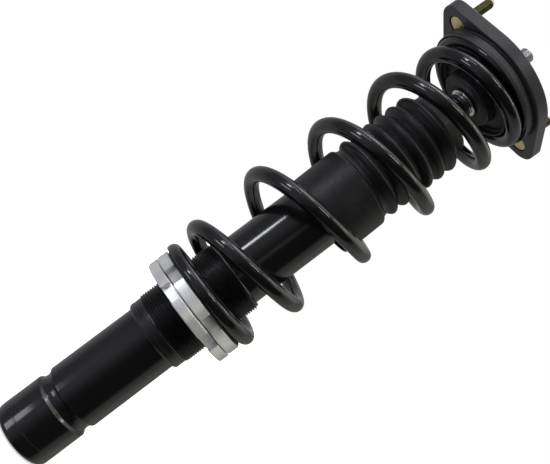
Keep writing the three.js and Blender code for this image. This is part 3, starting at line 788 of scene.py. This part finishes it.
def dust_boot():
    low, high, _ = extent("dust_boot")
    hole = ROD_RADIUS + 0.4
    shoulder = BELLOWS_HIGH + 0.9
    outside = rounded([
        (SKIRT_RADIUS - 0.3, low, 0.7), (SKIRT_RADIUS, low + 3, 1.0), (SKIRT_RADIUS, SKIRT_HIGH, 3.0),
        (NECK_RADIUS, BELLOWS_LOW - 3.5, 1.6), (NECK_RADIUS - 0.9, BELLOWS_LOW - 0.4)],
        closed=False, steps=6)
    collar = rounded([
        (COLLAR_RADIUS + 1.8, shoulder - 0.3), (COLLAR_RADIUS + 1.5, shoulder, 0.3),
        (COLLAR_RADIUS + 0.5, shoulder + 0.1, 0.2), (COLLAR_RADIUS + 0.4, shoulder + 1.0, 0.3),
        (COLLAR_RADIUS - 0.2, high - 0.6, 1.6), (22.0, high, 1.0), (hole + 3.2, high, 1.0),
        (hole + 2.2, high - 0.9, 0.6), (hole, high - 0.9, 0.4), (hole, high - 2.2)],
        closed=False, steps=6)
    inside = [(SKIRT_RADIUS - BOOT_WALL, low), (SKIRT_RADIUS - BOOT_WALL, SKIRT_HIGH - 2.6),
              (NECK_RADIUS - BOOT_WALL, BELLOWS_LOW - 2.6)]
    inside += fold_profile(FOLD_WALL)
    inside += [(COLLAR_RADIUS - BOOT_WALL, shoulder + 1.4), (COLLAR_RADIUS - BOOT_WALL, high - 2.2)]
    profile = outside + fold_profile(0.0)[1:-1] + collar + inside[::-1]
    piece = turned("dust_boot", profile, 128, sharp=50, shift=boot_lean)
    return dress(piece, "boot_body", "boot_rubber", "dust_boot")


def bump_stop():
    low, high, radius = extent("bump_stop")
    waist = (low + high) / 2
    bore = ROD_RADIUS + 0.4
    return turned_node("bump_stop", "boot_body", "yellow_foam", [
        (bore, low, 0.8), (15.5, low, 2.0), (19, low + 6, 3.0), (19, waist - 3.5, 2.0),
        (16.5, waist, 2.0), (radius, waist + 3.5, 2.0), (radius, high, 1.2), (bore, high, 0.8)],
        64, sharp=60)


# ---------------------------------------------------------------- upper seat and bearing


def hub_cup():
    low, high, radius = extent("bump_stop_cup")
    inside, floor = radius - 3.0, low + 3.5
    piece = turned("hub_cup", rounded([
        (TIP_HOLE, low + 0.8, 0.3), (13.0, low + 0.8, 0.5), (14.0, low, 0.5), (radius, low, 2.6),
        (radius, high, 0.4), (inside, high, 0.4), (inside, floor, 1.0), (TIP_HOLE, floor, 0.3)],
        steps=6))
    return dress(piece, "rod_and_top_mount", "black_coated_steel", "bump_stop_cup",
                 finish="matt_coated_steel")


def spring_seat():
    """Dished seat: a smooth cone round the hub, the lip inside the spring, and a rolled rim."""
    _, high, radius = extent("upper_spring_seat")
    bore = SPACER_HOLE
    hub_hole = 23.1
    lip_inside = SEAT_LIP_RADIUS - 1.7
    rim = radius - 0.8
    piece = turned("spring_seat", rounded([
        (bore, SEAT_WEB_LOW, 0.3), (hub_hole, SEAT_WEB_LOW), (hub_hole, SEAT_CONE_LOW, 0.5),
        (lip_inside, SEAT_WEB_LOW - 0.4, 2.6),
        (lip_inside, SEAT_LIP_LOW, 0.8), (SEAT_LIP_RADIUS, SEAT_LIP_LOW, 0.9),
        (SEAT_LIP_RADIUS, SEAT_FLANGE_LOW, 1.0), (rim, SEAT_FLANGE_LOW, 0.6), (rim, RIM_LOW, 0.3),
        (radius, RIM_LOW, 0.5), (radius + 0.3, RIM_LOW + 2.5, 1.5), (radius, high, 1.0),
        (RACE_RADIUS + 0.4, high, 0.3), (RACE_RADIUS + 0.4, SEAT_WEB_HIGH, 0.4),
        (bore, SEAT_WEB_HIGH, 0.3)], steps=6), 128)
    return dress(piece, "upper_seat_body", "black_coated_steel", "upper_spring_seat",
                 finish="matt_coated_steel")


def thrust_bearing():
    for node, body in (("bearing_lower_race", "upper_seat_body"),
                       ("bearing_upper_race", "rod_and_top_mount")):
        washer_node(node, body, "bright_steel", RACE_BORE, 0.3, 96, name=node + "_ring")
    builder = bmesh.new()
    for index in range(BALL_COUNT):
        angle = TAU * index / BALL_COUNT
        place = Matrix.Translation((BALL_CIRCLE * math.cos(angle), BALL_CIRCLE * math.sin(angle),
                                    BALL_HEIGHT))
        bmesh.ops.create_uvsphere(builder, u_segments=16, v_segments=10, radius=BALL_RADIUS,
                                  matrix=place)
    return dress(make_object("bearing_balls", builder, 60), "ball_ring_body", "bright_steel",
                 "bearing_ball_ring")


def seat_shield():
    low, high, radius = extent("seat_shield")
    bore = RACE_RADIUS + 0.6
    return turned_node("seat_shield", "rod_and_top_mount", "black_rubber", [
        (bore, low, 0.3), (radius, low, 0.9), (radius, high, 0.9), (bore, high, 0.3)], 128)


# ---------------------------------------------------------------- top mount


def plate_outline():
    """Disc with two opposite lobes, joined by their common tangents."""
    tangent = math.acos((PLATE_RADIUS - LOBE_RADIUS) / LOBE_OFFSET)
    arcs = [(LOBE_OFFSET, LOBE_RADIUS, -tangent, tangent, 40),
            (0.0, PLATE_RADIUS, tangent, math.pi - tangent, 64),
            (-LOBE_OFFSET, LOBE_RADIUS, math.pi - tangent, math.pi + tangent, 40),
            (0.0, PLATE_RADIUS, math.pi + tangent, TAU - tangent, 64)]
    points = []
    for centre, radius, start, end, steps in arcs:
        for step in range(steps):
            angle = start + (end - start) * (step + 0.5) / steps
            points.append((centre + radius * math.cos(angle), radius * math.sin(angle)))
    return points


def tipped(piece, slide=PLATE_SLIDE):
    """Tips a piece of the top plate down towards the shaded side, and slides it along the lobes."""
    pivot = Matrix.Translation((0, 0, PLATE_LOW * MM))
    tip = Matrix.Rotation(math.radians(-PLATE_TILT), 4, FRONT)
    drop = Matrix.Translation((slide * MM, 0, -PLATE_DROP * MM))
    piece.data.transform(drop @ pivot @ tip @ pivot.inverted())
    return piece


def top_plate():
    recesses = [circle(STUD_RECESS_RADIUS, (side * STUD_OFFSET, 0), 64) for side in (1, -1)]
    lower = plate_from_outlines("plate_lower", [plate_outline(), circle(PLATE_BORE), *recesses],
                                PLATE_LOW, PLATE_HIGH, 0.8)
    dress(tipped(lower), "rod_and_top_mount", "mount_black_coating", "top_mount_plate")
    for number, side in ((1, 1), (2, -1)):
        bore = STUD_KNURL_RADIUS + 0.05
        ring = turned(f"stud_boss_{number}", rounded([
            (bore, STUD_RECESS_HIGH, 0.2), (STUD_RECESS_RADIUS + 0.9, STUD_RECESS_HIGH),
            (STUD_RECESS_RADIUS + 0.9, PLATE_HIGH), (bore, PLATE_HIGH, 0.3)]), 64)
        ring.data.transform(Matrix.Translation((side * STUD_OFFSET * MM, 0, 0)))
        dress(tipped(ring), "rod_and_top_mount", "mount_black_coating")
    high = span("top_mount_plate")[1]
    boss = turned("plate_boss", rounded([
        (PLATE_BORE, PLATE_HIGH - 1), (BOSS_RADIUS + 1.5, PLATE_HIGH - 0.4),
        (BOSS_RADIUS + 1.2, PLATE_HIGH + 0.1), (BOSS_RADIUS, PLATE_HIGH + 0.6, 1.4),
        (BOSS_RADIUS, high, 1.6), (PLATE_BORE, high, 0.8)]))
    return dress(tipped(boss), "rod_and_top_mount", "mount_black_coating")


def mount_bush():
    low, high, radius = extent("mount_bush")
    bore = SPACER_HOLE
    return tipped(turned_node("mount_bush", "rod_and_top_mount", "black_rubber", [
        (bore, low, 0.5), (radius - 3, low, 0.8), (radius - 2.4, low + 0.8, 0.6),
        (radius, low + 0.4, 0.4), (radius, high, 0.4), (radius - 1.4, high, 0.5),
        (radius - 3.2, high - 1.4, 0.8), (bore + 1.6, high - 1.2, 0.8), (bore, high, 0.4)]), slide=0.0)


def stud_head_and_knurl(name, low, head_high, knurl_high):
    """Flat round head with a centre-drill dimple, and a diamond knurl above it."""
    head = rounded([(0, low + 0.5), (0.7, low, 0.15), (STUD_HEAD_RADIUS, low, 0.6),
                    (STUD_HEAD_RADIUS, head_high, 0.5), (STUD_KNURL_RADIUS - 0.3, head_high, 0.1)],
                   closed=False, steps=5)
    builder = bmesh.new()
    segments = 72
    rows = [[(r, z)] * segments for r, z in head]
    levels = round((knurl_high - head_high) / 0.25)
    for level in range(1, levels + 1):
        height = head_high + (knurl_high - head_high) * level / levels
        row = []
        for i in range(segments):
            rise = (height - head_high) * 1.1
            first = abs(((i / segments * KNURL_COUNT + rise) % 1) * 2 - 1)
            second = abs(((i / segments * KNURL_COUNT - rise) % 1) * 2 - 1)
            reach = STUD_KNURL_RADIUS - KNURL_DEPTH * max(first, second) ** 2
            row.append((min(reach, STUD_THREAD_RADIUS - 0.2 + (knurl_high - height) * 1.4), height))
        rows.append(row)
    rings = level_rings(builder, rows)
    for here, there in zip(rings, rings[1:]):
        ring_faces(builder, here, there)
    close_ends(builder)
    return make_object(name, builder, 30)


def mount_stud(number, side):
    node = f"mount_stud_{number}"
    low, high = span(node)
    thread_high = high - 2.2
    move = Matrix.Translation((side * STUD_OFFSET * MM, 0, 0))
    head = stud_head_and_knurl(f"stud_{number}_head", low - 0.9, low + 3.0, STUD_KNURL_HIGH)
    head.data.transform(move)
    dress(tipped(head), "rod_and_top_mount", "yellow_zinc", node)

    def limit(height):
        return min(STUD_THREAD_RADIUS, STUD_TIP_RADIUS + max(0.0, thread_high - height))

    builder = threaded(STUD_KNURL_HIGH - 0.2, thread_high, STUD_THREAD_RADIUS,
                       STUD_THREAD_RADIUS - 0.68, FINE_PITCH, limit, 48)
    close_ends(builder)
    shank = make_object(f"stud_{number}_thread", builder)
    shank.data.transform(move)
    dress(tipped(shank), "rod_and_top_mount", "yellow_zinc", finish="olive_zinc")
    tip = turned(f"stud_{number}_tip", rounded([
        (0, high - 2.6), (STUD_TIP_RADIUS, high - 2.6), (STUD_TIP_RADIUS, high - 2.0, 0.3),
        (1.6, high, 0.5), (0, high)], closed=False), 48, closed=False)
    tip.data.transform(move)
    return dress(tipped(tip), "rod_and_top_mount", "yellow_zinc")


def rod_top_fixings():
    washer_node("spacer_tube", "rod_and_top_mount", "bright_steel", TIP_HOLE)
    washer_node("rod_top_washer", "rod_and_top_mount", "bright_steel", TIP_HOLE, 0.5, 96)
    hex_nut("rod_nut", across_flats=18.0, bore=6.1)
    hex_nut("piston_nut", across_flats=17.0, bore=5.7)


def hex_nut(node, across_flats, bore):
    """Hexagon nut with its corners turned to a cone at both ends."""
    low, high = span(node)
    segments = 144
    builder = bmesh.new()
    half = across_flats / 2
    levels = [0.0, 0.5, 1.0, 1.6, 2.2]
    heights = [low + d for d in levels] + [high - d for d in levels[::-1]]
    rows = [[(bore + 0.5, low)] * segments]
    for height in heights:
        cone = half - 0.3 + 1.75 * min(height - low, high - height)
        row = []
        for i in range(segments):
            angle = (TAU * i / segments) % (TAU / 6) - TAU / 12
            row.append((min(half / math.cos(angle), cone), height))
        rows.append(row)
    for radius, height in ((bore + 0.5, high), (bore, high - 0.5), (bore, low + 0.5)):
        rows.append([(radius, height)] * segments)
    rings = level_rings(builder, rows)
    for here, there in zip(rings, rings[1:] + rings[:1]):
        ring_faces(builder, here, there)
    return dress(make_object(node + "_hex", builder, 25), "rod_and_top_mount", "bright_steel", node)


# ---------------------------------------------------------------- build the strut

foot_cap()
body_tube()
threaded_sleeve()
gland_nut()
inner_works()
notched_ring("lock_ring_notched", "lock_ring", "lock_ring_body", LOCK_RING_TURN)
notched_ring("spring_perch_notched", "spring_perch", "perch", PERCH_TURN)
perch_isolator()
coil_spring()
piston_rod()
rod_washer()
dust_boot()
bump_stop()
hub_cup()
spring_seat()
thrust_bearing()
seat_shield()
top_plate()
mount_bush()
mount_stud(1, 1)
mount_stud(2, -1)
rod_top_fixings()


# ---------------------------------------------------------------- studio


def pale_floor():
    """Wide white floor. It is seen from above only, so that the strut shows from below too."""
    size = 8.0
    builder = bmesh.new()
    bmesh.ops.create_grid(builder, x_segments=1, y_segments=1, size=size / MM)
    floor = make_object("floor", builder)
    floor.location.z = -0.0005
    s = Shader("floor_paper")
    tone = s.blend_colors(s.noise(3, 3), (0.90, 0.90, 0.90), (0.94, 0.94, 0.94))
    s.finish(tone, 0.9, Emission_Color=(1, 1, 1, 1), Emission_Strength=0.55)
    below = s.add("ShaderNodeNewGeometry").outputs["Backfacing"]
    clear = s.add("ShaderNodeBsdfTransparent")
    mix = s.add("ShaderNodeMixShader", below, s.bsdf.outputs[0], clear.outputs[0])
    output = s.tree.nodes["Material Output"]
    s.feed(output.inputs["Surface"], mix.outputs[0])
    floor.data.materials.append(s.material)
    floor.visible_glossy = False
    floor.visible_diffuse = False
    floor.visible_shadow = False


# Brightness of the room round the strut, at its own level and raised above it.
# Each stop is (turn, level, warmth). The turn is measured from the front: negative towards the lit
# side, positive towards the shaded side, 180 straight behind.
ROOM_LEVEL = [(-180, 0.34, 0), (-166, 0.36, 0), (-140, 0.42, 0), (-112, 0.44, -0.5),
              (-98, 0.26, -1), (-60, 0.38, -1), (-30, 0.44, -1), (-14, 0.24, -0.5), (0, 0.10, 0),
              (12, 0.05, 0), (76, 0.05, 0), (86, 0.42, 0.2), (118, 0.56, 0.4), (138, 0.32, 0.6),
              (156, 0.22, 0.6), (180, 0.34, 0)]
ROOM_RAISED = [(-180, 0.9, 0), (-150, 0.5, 0), (-120, 0.6, 0), (-100, 1.5, -0.2), (-74, 2.3, -0.4),
               (-60, 2.1, -0.4), (-46, 1.9, -0.6), (-32, 1.4, -0.2), (-12, 1.3, 0.4), (2, 1.5, 0.8),
               (12, 1.9, 1.4), (20, 0.6, 1.4), (34, 0.8, 1.4), (48, 0.8, 1.4), (62, 1.8, 1.0),
               (74, 1.4, 0.4), (96, 1.4, 0.3), (130, 1.3, 0.3), (150, 0.7, 0.3), (180, 0.9, 0)]


def room_ramp(nodes, stops, position):
    """One of the two rings of stops, as a colour."""
    ramp = nodes.add("ShaderNodeValToRGB", position)
    elements = ramp.color_ramp.elements
    while len(elements) > 1:
        elements.remove(elements[-1])
    for index, (turn, level, warmth) in enumerate(stops):
        place = (turn + 180) / 360
        element = elements[0] if index == 0 else elements.new(place)
        element.position = place
        element.color = (level * (1 + 0.02 * warmth), level, level * (1 - 0.14 * warmth), 1)
    return ramp.outputs[0]


def room_light():
    """Surroundings of the studio: white to the camera, dimmer and uneven in reflections."""
    world = bpy.data.worlds.new("studio_room")
    bpy.context.scene.world = world
    world.use_nodes = True
    nodes = Nodes(world.node_tree)
    direction = nodes.add("ShaderNodeTexCoord").outputs["Generated"]

    def along(axis):
        node = nodes.add("ShaderNodeVectorMath", direction, axis, operation="DOT_PRODUCT")
        return node.outputs["Value"]

    turn = nodes.math("ARCTAN2", along(SIDE), along(FRONT))
    share = nodes.math("MULTIPLY_ADD", turn, 1 / TAU, 0.5)
    raised = nodes.spread(along((0, 0, 1)), 0.45, 0.75)
    room = nodes.blend_colors(raised, room_ramp(nodes, ROOM_LEVEL, share),
                              room_ramp(nodes, ROOM_RAISED, share))
    seen = nodes.add("ShaderNodeLightPath").outputs["Is Camera Ray"]
    background = world.node_tree.nodes["Background"]
    nodes.feed(background.inputs["Color"], nodes.blend_colors(seen, room, (1, 1, 1)))


LAMP_DISTANCE = 1.6


def lamp(name, turn, rise, width, height, radiance, tint):
    """Soft box aimed at the strut: turn and rise are its direction from there, in degrees."""
    data = bpy.data.lights.new(name, "AREA")
    data.shape = "RECTANGLE"
    data.size, data.size_y = width, height
    data.color = tint
    data.energy = radiance * math.pi * width * height
    piece = bpy.data.objects.new(name, data)
    bpy.context.scene.collection.objects.link(piece)
    angle, lift = math.radians(turn), math.radians(rise)
    away = (FRONT * math.cos(angle) + SIDE * math.sin(angle)) * math.cos(lift)
    away = away + Vector((0, 0, math.sin(lift)))
    piece.location = Vector((0, 0, 0.2)) + away * LAMP_DISTANCE
    piece.rotation_mode = "QUATERNION"
    piece.rotation_quaternion = (-away).to_track_quat("-Z", "Y")
    piece.visible_camera = False
    return piece


def camera():
    data = bpy.data.cameras.new("camera")
    data.lens = CAMERA_LENS
    data.sensor_width = 36.0
    data.clip_start, data.clip_end = 0.01, 100.0
    piece = bpy.data.objects.new("camera", data)
    bpy.context.scene.collection.objects.link(piece)
    forward = CAMERA_FORWARD.normalized()
    right = (CAMERA_RIGHT - forward * CAMERA_RIGHT.dot(forward)).normalized()
    up = right.cross(forward)
    turn = Matrix((right, up, -forward)).transposed()
    piece.matrix_world = Matrix.Translation(CAMERA_PLACE) @ turn.to_4x4()
    bpy.context.scene.camera = piece


pale_floor()
room_light()
lamp("lower_soft_box", -54, -31, 0.48, 0.34, 4.6, (0.95, 0.96, 1.0))
lamp("upper_strip", -54, 6, 0.16, 0.26, 24.0, (0.95, 0.97, 1.0))
lamp("front_bar", -50, 22, 0.7, 0.06, 14.0, (0.95, 0.97, 1.0))
lamp("high_bar", -50, 56, 0.8, 0.06, 16.0, (0.95, 0.97, 1.0))
lamp("overhead_bar", 6, 40, 0.5, 0.06, 20.0, (0.98, 0.98, 1.0))
lamp("shaded_bar", 48, 58, 0.7, 0.06, 12.0, (1.0, 0.97, 0.93))
lamp("warm_strip", 13, 7, 0.34, 0.3, 0.35, (1.0, 0.93, 0.80))
camera()
bpy.context.scene.view_settings.view_transform = "Standard"
